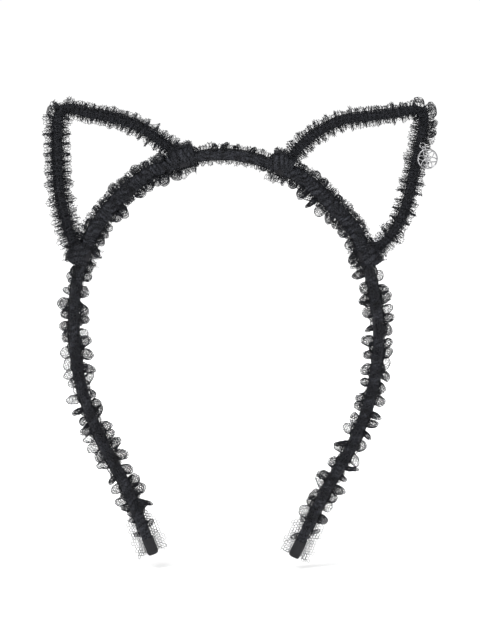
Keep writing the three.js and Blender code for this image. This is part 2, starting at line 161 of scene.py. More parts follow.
class Net:
    """Collects pieces of hexagonal net, then makes one mesh of their threads."""

    def __init__(self):
        self.points, self.faces, self.count, self.cloth = [], [], 0, 0.0

    def add(self, width, height, place, cell=CELL, round_v=False, keep=None):
        """A flat net of that size, put where place(u, v) says. round_v joins its two long edges.
        keep(u, v), if given, says which of its knots are there."""
        side = cell / math.sqrt(3)
        columns = max(3, round(width / (cell / 2)))
        rows = max(2, round(height / (1.5 * side)))
        if round_v:
            rows += rows % 2
        i, j = np.meshgrid(np.arange(columns), np.arange(rows), indexing="ij")
        up = (i + j) % 2 == 1
        u = i * width / (columns - 1)
        v = (j + np.where(up, 0.167, -0.167)) * height / (rows if round_v else rows - 1)
        here = np.ones(u.shape, bool) if keep is None else keep(u, v)
        p = place(u, v).reshape(-1, 3)
        index = np.where(here, np.arange(u.size).reshape(u.shape), -1)

        def beside(di, dj):
            out = np.full(u.shape, -1)
            a, b = i + di, j + dj
            if round_v:
                b = b % rows
            ok = (a >= 0) & (a < columns) & (b >= 0) & (b < rows)
            out[ok] = index[a[ok], b[ok]]
            return out

        left, right, above, below = beside(-1, 0), beside(1, 0), beside(0, 1), beside(0, -1)
        # the three threads at a knot, anticlockwise seen from above the net
        near = np.stack([
            np.where(up, above, right), left, np.where(up, right, below)
        ], axis=-1).reshape(-1, 3)
        near[index.reshape(-1) < 0] = -1
        self.weave(p, near, index.reshape(-1) >= 0)
        self.cloth += width * height * here.mean()

    def weave(self, p, near, here):
        """Threads of triangular section between the knots, sharing their corners at each knot."""
        has = near >= 0
        toward = np.where(has[..., None], p[np.where(has, near, 0)] - p[:, None], 0)
        missing = -toward.sum(axis=1)
        toward = np.where(has[..., None], toward, missing[:, None])
        size = np.linalg.norm(toward, axis=2, keepdims=True)
        toward = toward / np.maximum(size, 1e-9)
        turned = np.roll(toward, -1, axis=1)
        normal = np.cross(toward, turned).sum(axis=1)
        normal /= np.maximum(np.linalg.norm(normal, axis=1, keepdims=True), 1e-9)
        middle = toward + turned
        size = np.linalg.norm(middle, axis=2, keepdims=True)
        # a narrow corner between two threads keeps them their full width, up to a limit
        stretch = THREAD / 2 / np.clip(np.sqrt(np.maximum(1 - size**2 / 4, 0)), 0.45, 1)
        corner = p[:, None] + middle / np.maximum(size, 1e-6) * stretch
        ridge = p + normal * THREAD * 0.8
        count = len(p)
        points = np.concatenate([corner.reshape(-1, 3), ridge])

        def corner_at(knot, k):
            return knot * 3 + k % 3

        def ridge_at(knot):
            return 3 * count + knot

        faces = [np.stack([corner_at(np.nonzero(here)[0], k) for k in (2, 1, 0)], axis=1)]
        knots = np.arange(count)
        loose_ends = []
        for k in range(3):
            a = knots[has[:, k] & here]
            b = near[a, k]
            once = a < b
            a, b = a[once], b[once]
            back = np.argmax(near[b] == a[:, None], axis=1)
            left_a, right_a = corner_at(a, k), corner_at(a, k + 2)
            left_b, right_b = corner_at(b, back + 2), corner_at(b, back)
            top_a, top_b = ridge_at(a), ridge_at(b)
            faces.append(np.stack([left_a, top_a, top_b, left_b], axis=1))
            faces.append(np.stack([top_a, right_a, right_b, top_b], axis=1))
            faces.append(np.stack([right_a, left_a, left_b, right_b], axis=1))
            # a thread cut through beside a knot ends in a short point
            a = knots[~has[:, k] & here & (has.sum(axis=1) > 0)]
            tip = len(points) + sum(len(t) for t in loose_ends) + np.arange(len(a))
            loose_ends.append(p[a] + toward[a, k] * random.uniform(0.15, 0.5, (len(a), 1)))
            left_a, right_a, top_a = corner_at(a, k), corner_at(a, k + 2), ridge_at(a)
            faces.append(np.stack([left_a, top_a, tip], axis=1))
            faces.append(np.stack([top_a, right_a, tip], axis=1))
            faces.append(np.stack([right_a, left_a, tip], axis=1))
        points = np.concatenate([points, *loose_ends])
        self.points.append(points)
        self.faces += [f + self.count for f in faces]
        self.count += len(points)

    def build(self, name):
        return add_mesh(name, np.concatenate(self.points), self.faces)


def ripples(size, terms=7):
    """A smooth random function of places, between about -1 and 1, with bumps of that size."""
    waves = random.normal(size=(terms, 3))
    waves *= 2 * math.pi / size / np.linalg.norm(waves, axis=1)[:, None]
    waves *= random.uniform(0.6, 1.3, (terms, 1))
    start = random.uniform(0, 2 * math.pi, terms)
    return lambda p: np.sin(p @ waves.T + start).sum(axis=-1) / terms**0.5 * 0.8


def wobble(size, terms=5):
    """The same along a line."""
    waves = 2 * math.pi / size * random.uniform(0.4, 1.5, terms)
    start = random.uniform(0, 2 * math.pi, terms)
    return lambda s: np.sin(np.asarray(s)[..., None] * waves + start).sum(axis=-1) / terms**0.5 * 0.8


def crumpled(p, amount, size):
    """Places moved a little at random, as thin cloth crumples."""
    return p + amount * np.stack([ripples(size)(p) for _ in range(3)], axis=-1)


# ---------------------------------------------------------------- closed surfaces
def quads_of(rows, columns, first=0):
    """Faces of a grid of points that closes round its columns."""
    i, j = np.meshgrid(np.arange(rows - 1), np.arange(columns), indexing="ij")
    a, b = i * columns + j, i * columns + (j + 1) % columns
    return np.stack([a, b, b + columns, a + columns], axis=-1).reshape(-1, 4) + first


def add_solid(name, rings):
    """A closed solid through rings of points, rows by columns by 3."""
    rows, columns = rings.shape[:2]
    last = np.arange(columns)[None] + (rows - 1) * columns
    ends = [np.arange(columns)[None, ::-1], last]
    return add_mesh(name, rings.reshape(-1, 3), [quads_of(rows, columns), *ends])


def add_skin(name, outer, inner):
    """A closed, thin-walled tube between two grids of points."""
    rows, columns = outer.shape[:2]
    count = rows * columns
    j = np.arange(columns)
    rims = []
    for row, flip in ((0, True), (rows - 1, False)):
        a, b = row * columns + j, row * columns + (j + 1) % columns
        rim = np.stack([a, b, b + count, a + count], axis=-1)
        rims.append(rim[:, ::-1] if flip else rim)
    faces = [quads_of(rows, columns), quads_of(rows, columns, count)[:, ::-1], *rims]
    return add_mesh(name, np.concatenate([outer.reshape(-1, 3), inner.reshape(-1, 3)]), faces)


def tube(points, radius, closed=False, sides=8):
    """Rings of a round wire along a line of points, for add_solid, or for closed loops."""
    points = np.asarray(points, float)
    if closed:
        along = np.roll(points, -1, axis=0) - np.roll(points, 1, axis=0)
    else:
        along = np.gradient(points, axis=0)
    along /= np.linalg.norm(along, axis=1)[:, None]
    side = np.cross(along, (0.31, 0.87, 0.38))
    side /= np.linalg.norm(side, axis=1)[:, None]
    over = np.cross(along, side)
    turn = np.linspace(0, 2 * math.pi, sides, endpoint=False)[:, None]
    return points[:, None] + radius * (
        side[:, None] * np.cos(turn) + over[:, None] * np.sin(turn)
    )


# ---------------------------------------------------------------- ways of gathering the net
def oval(angle, across, depth):
    """How far an oval reaches at an angle, 0 across and 90 degrees to the back."""
    return 1 / np.sqrt((np.cos(angle) / across) ** 2 + (np.sin(angle) / depth) ** 2)


def eased(x):
    """From 0 to 1 with a soft start and end."""
    x = np.clip(x, 0, 1)
    return x * x * (3 - 2 * x)


def folds_of(pitch, fold, slant, tilt):
    """Crosswise folds as a function of where they are: how far they stand out, and their sway."""
    wander, height, crinkle = ripples(6.5), ripples(3), ripples(1.1)

    def at(s, angle, base):
        sideways = -np.sin(angle) * np.cos(angle) * 2 * tilt
        phase = 2 * math.pi * (s / pitch + slant * wander(base) + sideways)
        fine = 2 * math.pi * (s / (0.57 * pitch) - slant * wander(base + 7) - sideways)
        crest = 0.7 * (0.5 + 0.5 * np.cos(phase)) ** 0.8 + 0.3 * np.abs(np.sin(fine / 2))
        out = fold * crest * (0.85 + 0.45 * height(base)) + 0.09 * crinkle(base)
        return out, 0.15 * pitch * np.sin(phase), crest

    return at


def packed_folds(name, route, start, end, across, depth, fold, pitch, slant=0.3, tilt=0.0,
                 shift=0.0, wall=0.25):
    """The innermost net, drawn up so tight that its layers make one folded skin."""
    rows, columns = int((end - start) / 0.27), 48
    s = np.linspace(start, end, rows)[:, None]
    angle = np.linspace(0, 2 * math.pi, columns, endpoint=False)[None]
    base = route.around(s, across * np.cos(angle), depth * np.sin(angle))
    out, sway, crest = folds_of(pitch, fold, slant, tilt)(s, angle, base)
    closing = eased(np.minimum(s - start, end - s) / 1.5)
    out = (out + 0.3) * closing - 0.3 + wall
    sideways = out * (1 - 0.6 * np.cos(angle) ** 2)
    layers = [
        route.around(
            s + sway * closing,
            shift + (across + sideways - inset) * np.cos(angle),
            (depth + out - inset) * np.sin(angle),
        )
        for inset in (0, wall)
    ]
    obj = add_skin(name, *layers)
    # the crest of each fold, kept for the painted shade in the packed net's colour
    attribute = obj.data.attributes.new("crest", "FLOAT", "POINT")
    attribute.data.foreach_set("value", np.tile(crest.ravel(), 2).astype(np.float32))
    return obj


def sleeve(net, route, start, end, across, depth, fold=0.6, pitch=1.9, gather=1.5, slant=0.3,
           tilt=0.0, shift=0.0, cell=1.3):
    """A sleeve of open net over those folds, with folds of its own."""
    girth = math.pi * (across + depth + fold)
    folds = folds_of(pitch, fold, slant, tilt)

    def place(u, v):
        s = start + u / gather
        angle = v / girth * 2 * math.pi
        base = route.around(s, across * np.cos(angle), depth * np.sin(angle))
        out, sway, _ = folds(s, angle, base)
        p = route.around(
            s + sway, shift + (across + 0.7 * out) * np.cos(angle), (depth + out) * np.sin(angle)
        )
        return crumpled(p, 0.12, 2.5)

    net.add((end - start) * gather, girth, place, round_v=True, cell=cell)


def puff(net, route, s, angle, root, height, along, aside, lean=0.0, mouth=2.4, layers=2):
    """A pouch of net drawn in at its mouth: a disc of cloth bent over an egg shape. along and
    aside are its half widths along the route and round it; mouth is how far round the egg it goes,
    in radians."""
    folds, start_fold = random.integers(3, 7), random.uniform(0, 2 * math.pi)
    for layer in range(layers):
        grown = 1 - 0.14 * layer
        tall = height * grown / (1 - math.cos(mouth))
        wide, deep = along * grown, aside * grown
        radius = mouth * math.sqrt((wide**2 + deep**2 + 2 * tall**2) / 4)
        turn = random.uniform(0, 2 * math.pi)

        def place(u, v):
            away = np.hypot(u - radius, v - radius)
            way = np.arctan2(v - radius, u - radius) + turn
            t = np.minimum(away / radius, 1.05) * mouth
            crease = 1 + 0.12 * np.cos(folds * way + start_fold) * (t / mouth) ** 1.5
            out = tall * (np.cos(t) - math.cos(mouth))
            ds = wide * np.sin(t) * np.cos(way) * crease + lean * out
            aslant = deep * np.sin(t) * np.sin(way) * crease
            out = out + root
            p = route.around(
                s + ds,
                out * math.cos(angle) - aslant * math.sin(angle),
                out * math.sin(angle) + aslant * math.cos(angle),
            )
            return crumpled(p, 0.18, 2.6)

        net.add(2 * radius, 2 * radius, place, cell=OPEN_CELL,
                keep=lambda u, v: np.hypot(u - radius, v - radius) < radius)


def puffs(net, route, start, end, angle, root_across, root_depth, pitch, height, spread=0.35):
    """A row of puffs, uneven in size, along one side of the route. height is (least, most)."""
    s = start + pitch * random.uniform(0.1, 0.6)
    while s < end:
        way = angle + random.normal() * spread
        slim = random.random() < 0.15
        puff(
            net, route, s, way, oval(way, root_across, root_depth) - 0.5,
            random.uniform(*height) * (1.1 if slim else 1),
            along=random.uniform(1.0, 1.4) if slim else random.uniform(1.7, 2.7),
            aside=random.uniform(1.3, 2.5), lean=random.normal() * 0.22,
            layers=1 + int(random.random() < 0.75),
        )
        s += pitch * random.uniform(0.65, 1.35)


def pleating(start=0.0, end=1.0, fuller=0.0):
    """How a strip's pleats wander, grow and lean along it; fuller makes them deeper at its start."""
    height = wobble(5)
    return wobble(7), lambda s: height(s) + fuller * (0.6 - (s - start) / (end - start)), wobble(4)


def frill(net, route, start, end, angle, root, reach, pitch=1.7, swing=1.3, gather=3.4,
          crumple=0.12, cell=CELL, pleats=None):
    """A strip of net stitched along one edge and drawn up, so that it stands out in tight pleats
    with its cut edge free. Strips side by side can share their pleats."""
    shift, height, slope = pleats or pleating()
    late = random.normal() * 0.8

    def place(u, v):
        s = start + u / gather
        phase = 2 * math.pi * s / pitch + 2.2 * shift(s) + late
        grown = (0.12 + np.maximum(v, 0) / reach) ** 0.8
        aside = swing * grown * np.sin(phase)
        out = root + v * (1 + 0.3 * height(s)) * (1 - 0.05 * np.cos(2 * phase))
        s = s - 0.18 * pitch * grown * np.sin(2 * phase) + 0.3 * v * slope(s)
        p = route.around(
            s,
            out * math.cos(angle) - aside * math.sin(angle),
            out * math.sin(angle) + aside * math.cos(angle),
        )
        return crumpled(p, crumple, 2.2)

    net.add((end - start) * gather, reach, place, cell=cell)


def flap(net, route, start, end, angle, root, reach):
    """Net that is hardly gathered and hangs beside the tape in slow waves, cut off raw."""
    sway, edge, low = random.uniform(0, 2 * math.pi), wobble(5), wobble(4)
    slow = ripples(8)

    def place(u, v):
        far = v / reach
        s = start + u * (1 + 0.1 * far)
        aside = 1.1 * far * np.sin(2 * math.pi * u / 8.5 + sway)
        out = root + v * 0.94
        p = route.around(
            s,
            out * math.cos(angle) - aside * math.sin(angle),
            out * math.sin(angle) + aside * math.cos(angle),
        )
        return crumpled(p + 0.3 * slow(p)[..., None] * np.array([0, 1, 0]), 0.12, 4)

    length = end - start
    net.add(
        length, reach, place, cell=OPEN_CELL,
        keep=lambda u, v: (v < reach * (0.62 + 0.38 * eased(u / 5) + 0.13 * edge(u)))
        & (u < length * 0.94 + 0.7 * low(v)),
    )


def wound_tape(name, route, start, end, across, depth, turn=6.0, lift=0.3):
    """Tape wound at a slant, each turn lapping over the one before."""
    steps, lap, thick, square = 28, 1.22, 0.12, 0.65
    turns = (end - start) / turn - lap
    across_tape = np.array([0, 0.03, 0.2, 0.4, 0.6, 0.8, 0.97, 1.0])
    q = np.concatenate([across_tape, across_tape[::-1]])[None] * lap
    under = np.repeat([0.0, thick], len(across_tape))[None]
    angle = np.linspace(0, 2 * math.pi * turns, int(steps * turns) + 1)[:, None]
    s = start + turn * (angle / (2 * math.pi) + q)
    out = -0.15 - lift + lift * q / lap * 1.1 - under
    cos, sin = np.cos(angle), np.sin(angle)
    return add_solid(name, route.around(
        s,
        (across + out) * np.sign(cos) * np.abs(cos) ** square,
        (depth + out) * np.sign(sin) * np.abs(sin) ** square,
    ))


# ---------------------------------------------------------------- materials
def material(name, color, roughness, specular, metallic=0.0):
    made = bpy.data.materials.new(name)
    made.use_nodes = True
    shader = made.node_tree.nodes["Principled BSDF"]
    shader.inputs["Base Color"].default_value = (*color, 1)
    shader.inputs["Roughness"].default_value = roughness
    shader.inputs["Metallic"].default_value = metallic
    shader.inputs["Specular IOR Level"].default_value = specular
    return made, shader


def node(tree, kind, **inputs):
    made = tree.nodes.new(kind)
    for key, value in inputs.items():
        made.inputs[key].default_value = value
    return made


def ramp_between(tree, source, dark, light, low=0.3, high=0.7):
    """Two colours, mixed by a texture's value."""
    ramp = tree.nodes.new("ShaderNodeValToRGB")
    for element, color, place in zip(ramp.color_ramp.elements, (dark, light), (low, high)):
        element.color, element.position = (*color, 1), place
    tree.links.new(source, ramp.inputs["Fac"])
    return ramp.outputs["Color"]


def textured(name, dark, light, scale, roughness, specular, metallic=0.0, relief=0.0, sheen=0.0):
    """A finish whose colour and relief follow a fine noise."""
    made, shader = material(name, light, roughness, specular, metallic)
    tree = made.node_tree
    place = tree.nodes.new("ShaderNodeTexCoord")
    grain = node(tree, "ShaderNodeTexNoise", Scale=scale, Detail=3.0)
    tree.links.new(place.outputs["Object"], grain.inputs["Vector"])
    color = ramp_between(tree, grain.outputs["Fac"], dark, light)
    tree.links.new(color, shader.inputs["Base Color"])
    shader.inputs["Sheen Weight"].default_value = sheen
    if relief:
        bump = node(tree, "ShaderNodeBump", Strength=0.4, Distance=relief)
        tree.links.new(grain.outputs["Fac"], bump.inputs["Height"])
        tree.links.new(bump.outputs["Normal"], shader.inputs["Normal"])
    return made


def packed_net_material():
    """Net lying in many layers: paler threads over a deep black, as a fine cell pattern, with painted
    shade in the hollows of its folds and paler crests.
    """
    made, shader = material("packed_tulle", (0.02, 0.02, 0.025), 0.6, 0.12)
    tree = made.node_tree
    place = tree.nodes.new("ShaderNodeTexCoord")
    cells = node(tree, "ShaderNodeTexVoronoi", Scale=1050.0)
    cells.feature = "DISTANCE_TO_EDGE"
    tree.links.new(place.outputs["Object"], cells.inputs["Vector"])
    threads = ramp_between(tree, cells.outputs["Distance"], (1, 1, 1), (0.25, 0.25, 0.25),
                           0.05, 0.2)
    # painted shade: the net is darkest in the hollows of its folds and paler on their crests, following
    # the crest attribute
    crest = tree.nodes.new("ShaderNodeAttribute")
    crest.attribute_name = "crest"
    depth = ramp_between(tree, crest.outputs["Fac"], (0.003, 0.003, 0.004),
                         (0.036, 0.038, 0.046), 0.12, 0.95)
    mix = tree.nodes.new("ShaderNodeMix")
    mix.data_type, mix.blend_type = "RGBA", "MULTIPLY"
    mix.inputs["Factor"].default_value = 1.0
    tree.links.new(depth, mix.inputs["A"])
    tree.links.new(threads, mix.inputs["B"])
    color = mix.outputs["Result"]
    bump = node(tree, "ShaderNodeBump", Strength=0.5, Distance=0.0002)
    bump.invert = True
    tree.links.new(color, shader.inputs["Base Color"])
    tree.links.new(cells.outputs["Distance"], bump.inputs["Height"])
    tree.links.new(bump.outputs["Normal"], shader.inputs["Normal"])
    return made


def tape_material():
    """Black satin tape: a fine slanting weave, a little colour wear, a soft sheen."""
    made = textured("satin_tape", (0.004, 0.004, 0.005), (0.013, 0.013, 0.017), 260.0, 0.5, 0.2,
                    sheen=0.05)
    tree = made.node_tree
    place = tree.nodes.new("ShaderNodeTexCoord")
    weave = node(tree, "ShaderNodeTexWave", Scale=1500.0, Distortion=0.6)
    weave.bands_direction = "DIAGONAL"
    bump = node(tree, "ShaderNodeBump", Strength=0.35, Distance=0.0001)
    tree.links.new(place.outputs["Object"], weave.inputs["Vector"])
    tree.links.new(weave.outputs["Fac"], bump.inputs["Height"])
    tree.links.new(bump.outputs["Normal"], tree.nodes["Principled BSDF"].inputs["Normal"])
    return made


NET = textured("tulle_net", (0.007, 0.0073, 0.009), (0.027, 0.029, 0.036), 420.0, 0.5, 0.2,
               sheen=0.03)
PACKED = packed_net_material()
TAPE = tape_material()
PLASTIC = textured("black_plastic", (0.008, 0.008, 0.01), (0.012, 0.012, 0.015), 900.0, 0.6, 0.3,
                   relief=0.00003)
STEEL = textured("steel_wire", (0.25, 0.25, 0.26), (0.4, 0.4, 0.42), 500.0, 0.35, 0.5, 1.0)
SILVER = textured("silver", (0.14, 0.14, 0.15), (0.5, 0.5, 0.51), 700.0, 0.28, 0.5, 1.0,
                  relief=0.00005)
YARN = textured("thread", (0.006, 0.006, 0.008), (0.02, 0.02, 0.025), 2500.0, 0.7, 0.2,
                relief=0.0001)
PAINTS = {"core": PLASTIC, "wire": STEEL, "tape": TAPE, "binding": TAPE, "tulle": NET,
          "thread": YARN, "cap": PLASTIC, "silver": SILVER}

# ---------------------------------------------------------------- the pieces
hoop = Route(HOOP_POINTS)
TO_TIP = {"left": Route(HOOP_POINTS[::-1]), "right": hoop}    # the hoop, walked up to each tip
OVER_CROWN = 100, 320            # lengths from the left tip between which the ears' feet lie
FOOT_HEIGHT = {"left": -37.7, "right": -38.2}    # where the ears' outer feet meet the hoop
CROTCH_X = {"left": -17.8, "right": 22.8}        # and their inner feet
TOP = hoop.where(0, 0, *OVER_CROWN)
FLEX = {"left": hoop.where(1, FLEX_HEIGHT, 0, TOP), "right": hoop.where(1, FLEX_HEIGHT, TOP)}
FOOT = {
    "left": hoop.where(1, FOOT_HEIGHT["left"], 0, TOP),
    "right": hoop.where(1, FOOT_HEIGHT["right"], TOP),
}
CROTCH = {side: hoop.where(0, x, *OVER_CROWN) for side, x in CROTCH_X.items()}
TIP = {"left": 0.0, "right": hoop.length}
INWARDS = {"left": 1, "right": -1}
FLEX_X = {f"{side}_arm": float(hoop.around(s, 0, 0)[0]) for side, s in FLEX.items()}


def stretch(a, b):
    """The two ends of a stretch of the hoop, in walking order."""
    return min(a, b), max(a, b)


def across_bend(obj):
    """A piece on an arm: its placing is applied to its mesh, and it is joined to no body."""
    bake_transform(obj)


def dress(obj, body, replaced=(), finish="tulle", paint=None):
    """Gives a piece its paint and, unless it is on an arm, the body it moves with. A piece on an arm has
    its placing applied to its mesh instead.
    """
    obj.data.materials.append(paint or PAINTS[finish])
    if body in FLEX_X:
        across_bend(obj)
    else:
        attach(obj, body)
    if replaced:
        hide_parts(*replaced)
    return obj


def add_net(name, net, body):
    obj = dress(net.build(name), body)


def add_folds(name, body, length, rests_on, *shape, replaced=(), **settings):
    """The same with packed folds."""
    obj = dress(packed_folds(name, *shape, **settings), body, replaced, paint=PACKED)


def dress_arm(side):
    tip, foot, inwards, body = TIP[side], FOOT[side], INWARDS[side], f"{side}_arm"
    top = foot - inwards * 3
    tape = wound_tape(f"{side}_arm_wound_tape", hoop,
                      *stretch(tip - inwards * 0.4, FLEX[side] + inwards * 2),
                      TAPE_HALF + 0.1, TAPE_HALF_DEPTH + 0.1)
    dress(tape, body, [f"{side}_arm_tape"], "tape")

    add_folds(
        f"{side}_arm_packed_folds", body, 220, [tape.name], hoop,
        *stretch(tip + inwards * 5, top), TAPE_HALF - 0.05, TAPE_HALF_DEPTH + 0.1, 0.55, 2.3,
        tilt=0.3, slant=0.5, replaced=[f"{side}_arm_tulle"],
    )
    net = Net()
    sleeve(net, hoop, *stretch(tip + inwards * 12, top), TAPE_HALF + 0.05, TAPE_HALF_DEPTH + 0.3,
           fold=0.5, pitch=2.4, gather=1.8, tilt=0.25, slant=0.5)
    add_net(f"{side}_arm_ruching", net, body)

    rows = stretch(tip + inwards * 17, top)
    for name, angle in (("outer", 0.0), ("inner", math.pi)):
        net = Net()
        root = TAPE_HALF + 0.3, TAPE_HALF_DEPTH + 0.4
        puffs(net, hoop, *rows, angle, *root, 5.2, (3.6, 6.0))
        puffs(net, hoop, *rows, angle, *root, 8.0, (0.9, 2.0), spread=0.6)
        for way in (-1, 1):
            puffs(net, hoop, *rows, angle + way * 1.45, *root, 8, (1.4, 2.6), spread=0.25)
        add_net(f"{side}_arm_{name}_puffs", net, body)

    net = Net()
    route = TO_TIP[side]
    end = route.length
    for angle, reach in ((0.15, 5.6), (0.5, 4.6), (math.pi - 0.15, 5.4), (math.pi - 0.5, 4.6),
                         (-0.4, 3.2), (math.pi + 0.4, 3.0)):
        flap(net, route, end - 17, end + 1.2, angle, 2.0, reach)
    for s, angle in ((-19, 0.1), (-15, 3.3), (-11, -0.2), (-8, 3.0)):
        puff(net, route, end + s, angle, 1.9, random.uniform(2.6, 4.2), random.uniform(0.8, 1.4),
             1.8, lean=random.normal() * 0.4, layers=1)
    add_net(f"{side}_loose_end", net, body)


def dress_crown():
    tape = wound_tape("crown_wound_tape", hoop, FLEX["left"], FLEX["right"],
                      TAPE_HALF, TAPE_HALF_DEPTH)
    dress(tape, "headband", ["crown_tape"], "tape")
    ends = CROTCH["left"] - 1, CROTCH["right"] + 1
    add_folds(
        "crown_packed_folds", "headband", 60, [tape.name], hoop, *ends,
        TAPE_HALF - 0.1, TAPE_HALF_DEPTH + 0.2, 0.5, 3.8, slant=0.7, tilt=0.8,
        replaced=["crown_tulle"],
    )
    net = Net()
    sleeve(net, hoop, *ends, TAPE_HALF + 0.1, TAPE_HALF_DEPTH + 0.4, fold=0.6, pitch=3.4,
           gather=1.4, slant=0.6, tilt=0.8)
    for angle, reach in ((-0.7, 1.6), (0.1, 2.0), (0.8, 1.6), (math.pi - 0.4, 1.5), (math.pi + 0.5, 1.3)):
        frill(net, hoop, *ends, angle, TAPE_HALF, reach, pitch=2.0, gather=2.8, crumple=0.2)
    for s, tall in ((-12, 2.4), (-4.5, 3.2), (-1.5, 2.8), (4, 1.6), (10, 2.4), (19, 2.0)):
        puff(net, hoop, TOP + s, random.normal() * 0.3, TAPE_HALF + 0.4, tall, 1.1, 2.2,
             lean=random.normal() * 0.6)
    for s, tall in ((-14, 1.6), (17, 1.6)):
        puff(net, hoop, TOP + s, math.pi + random.normal() * 0.3, TAPE_HALF + 0.3, tall, 1.4, 2.2,
             lean=random.normal() * 0.5)
    add_net("crown_ruching", net, "headband")


def dress_shoulder(side):
    foot, crotch, inwards = FOOT[side], CROTCH[side], INWARDS[side]
    ends = stretch(foot + inwards * 1.5, crotch - inwards * 1)
    folds = f"{side}_shoulder_packed_folds"
    add_folds(
        folds, "headband", 170, ["crown_wound_tape"], hoop, *ends,
        TAPE_HALF + 0.6, TAPE_HALF_DEPTH + 0.5, 1.2, 2.1, slant=0.75, tilt=0.4 * inwards,
        replaced=[f"{side}_shoulder_tulle"],
    )
    net = Net()
    sleeve(net, hoop, *ends, TAPE_HALF + 0.45, TAPE_HALF_DEPTH + 0.9, fold=1.2, pitch=2.2,
           gather=2.1, tilt=0.4 * inwards, slant=0.6)
    for angle in (-0.6, 0.0, 0.6, math.pi - 0.6, math.pi, math.pi + 0.6):
        root = oval(angle, TAPE_HALF + 0.5, TAPE_HALF_DEPTH + 0.9)
        reach = 2.6 if abs(angle) < 1 else 1.7
        frill(net, hoop, *ends, angle, root, reach, pitch=2.3, swing=1.3, gather=2.8, cell=1.0)
    add_net(f"{side}_shoulder_ruching", net, "headband")

    net = Net()
    rows = stretch(foot + inwards * 1, crotch - inwards * 6)
    puffs(net, hoop, *rows, math.pi, TAPE_HALF + 1.4, TAPE_HALF_DEPTH + 1, 4.6, (3.6, 5.4))
    puffs(net, hoop, *rows, 0.0, TAPE_HALF + 1.4, TAPE_HALF_DEPTH + 1, 5.2, (1.6, 4.0), spread=0.5)
    add_net(f"{side}_shoulder_puffs", net, "headband")


def dress_foot(side, end, middle):
    """Net bunched over the binding that ties a foot of the ear's wire to the hoop."""
    name = f"{side}_ear_{end}_bunch"
    reach = 4.6 if end == "inner" else 4.2
    under = f"{side}_ear_{end}_binding"
    add_folds(
        name, "headband", 45, [under], hoop, middle - reach, middle + reach,
        4.3, 4.5, 1.1, 2.6, slant=0.3, tilt=0.5, shift=1.6,
    )
    net = Net()
    sleeve(net, hoop, middle - reach, middle + reach, 4.8, 4.9, fold=1.1, pitch=2.3, gather=2.2,
           shift=1.6)
    for angle in (-0.6, 0.6, math.pi - 0.5, math.pi + 0.5):
        root = 4.0 if abs(angle) > 1.5 else 5.6
        frill(net, hoop, middle - reach, middle + reach, angle, root, 2.6, pitch=2.0, gather=3.0)
    add_net(f"{name}_net", net, "headband")


def dress_ear(side):
    route = Route(EAR_POINTS[side])
    outwards = 1 if side == "right" else -1
    corner = float(route.s[np.argmax(route.xz[:, 0] * outwards + route.xz[:, 1])])
    tape = wound_tape(f"{side}_ear_wound_tape", route, 3, route.length - 1, EAR_TAPE, EAR_TAPE,
                      turn=4.5, lift=0.25)
    dress(tape, "headband", [f"{side}_ear_wire_tape"], "tape")
    out_angle = 0.0 if side == "right" else math.pi
    slim = side == "right"
    # where a leg's net starts and ends, its frill's reach and strips, and how deep its folds are
    legs = {
        "inner": (1.5, corner + 1, 2.0 if slim else 2.2, 7, 0.1 if slim else 0.25),
        "outer": (corner - 1, route.length - 0.5, 2.8 if slim else 3.4, 7, 0.1 if slim else 0.45),
    }
    for leg, (start, end, reach, strips, fold) in legs.items():
        folds = f"{side}_ear_{leg}_packed_folds"
        add_folds(
            folds, "headband", 90, [tape.name], route, start, end, EAR_TAPE + 0.05,
            EAR_TAPE + 0.05, fold, 1.7, replaced=[f"{side}_ear_{leg}_tulle"],
        )
        net, pleats = Net(), pleating(start, end, 1.7 if leg == "inner" else 0.0)
        for step in range(strips):
            angle = out_angle + step * 2 * math.pi / strips
            frill(net, route, start, end, angle, EAR_TAPE, reach, crumple=0.2, pleats=pleats)
        if leg == "outer":
            loops = ((-2, 2.6), (1.5, 3.2), (5, 2.8), (9, 3.0)) if side == "right" else ((2, 2.4),)
            for s, tall in loops:
                puff(net, route, corner + s, out_angle, EAR_TAPE + 1.2, tall, 1.3, 1.6, lean=-0.4)
        add_net(f"{side}_ear_{leg}_frill", net, "headband")
        net = Net()
        for step in range(6):
            angle = out_angle + (step + 0.5) * math.pi / 3
            frill(net, route, start, end, angle, EAR_TAPE, reach * 0.35, swing=0.8,
                  gather=2.4, cell=1.1, pleats=pleats)
        add_net(f"{side}_ear_{leg}_ruff", net, "headband")


# ---------------------------------------------------------------- the charm and the caps
CHARM_RADIUS = 4.3
RIM_WIRE = 0.32                  # radius of the wire of the charm's rim
PETAL_WIRE = 0.2
EYE_RADIUS = 0.7                 # the eye on top of the rim, to the middle of its wire
EYE_WIRE = 0.17
RING_OVER_RIM = 1.65             # the jump ring's centre above the charm's edge
JUMP_RADIUS = 1.1
JUMP_WIRE = 0.25
THREAD_LOOP_RADIUS = 0.8
THREAD_LOOP_WIRE = 0.17
CAP_START = 6.2                  # how far before the hoop's tip a cap starts
CAP_LENGTH = 7.5
CAP_HALF = 2.45                  # from its middle to its outer face
CAP_HALF_DEPTH = 4.0             # and to its front
CHARM_LEAN = math.radians(20.6)
RING_CENTRE = np.array([81.7, -6.9, 7.9])
CHARM_UP = np.array([-math.sin(CHARM_LEAN), 0, math.cos(CHARM_LEAN)])
CHARM_ACROSS = np.array([math.cos(CHARM_LEAN), 0, math.sin(CHARM_LEAN)])
CHARM_CENTRE = RING_CENTRE - CHARM_UP * (CHARM_RADIUS + RING_OVER_RIM)


def loop_of(centre, across, up, turn=0.0, count=48, start=0.0, end=2 * math.pi):
    """Points of an oval in the charm's plane, turned about the charm's middle."""
    t = np.linspace(start, end, count, endpoint=end - start < 2 * math.pi)[:, None]
    x, y = centre[0] + across * np.cos(t), centre[1] + up * np.sin(t)
    c, k = math.cos(turn), math.sin(turn)
    return CHARM_ACROSS * (c * x - k * y) + CHARM_UP * (k * x + c * y)


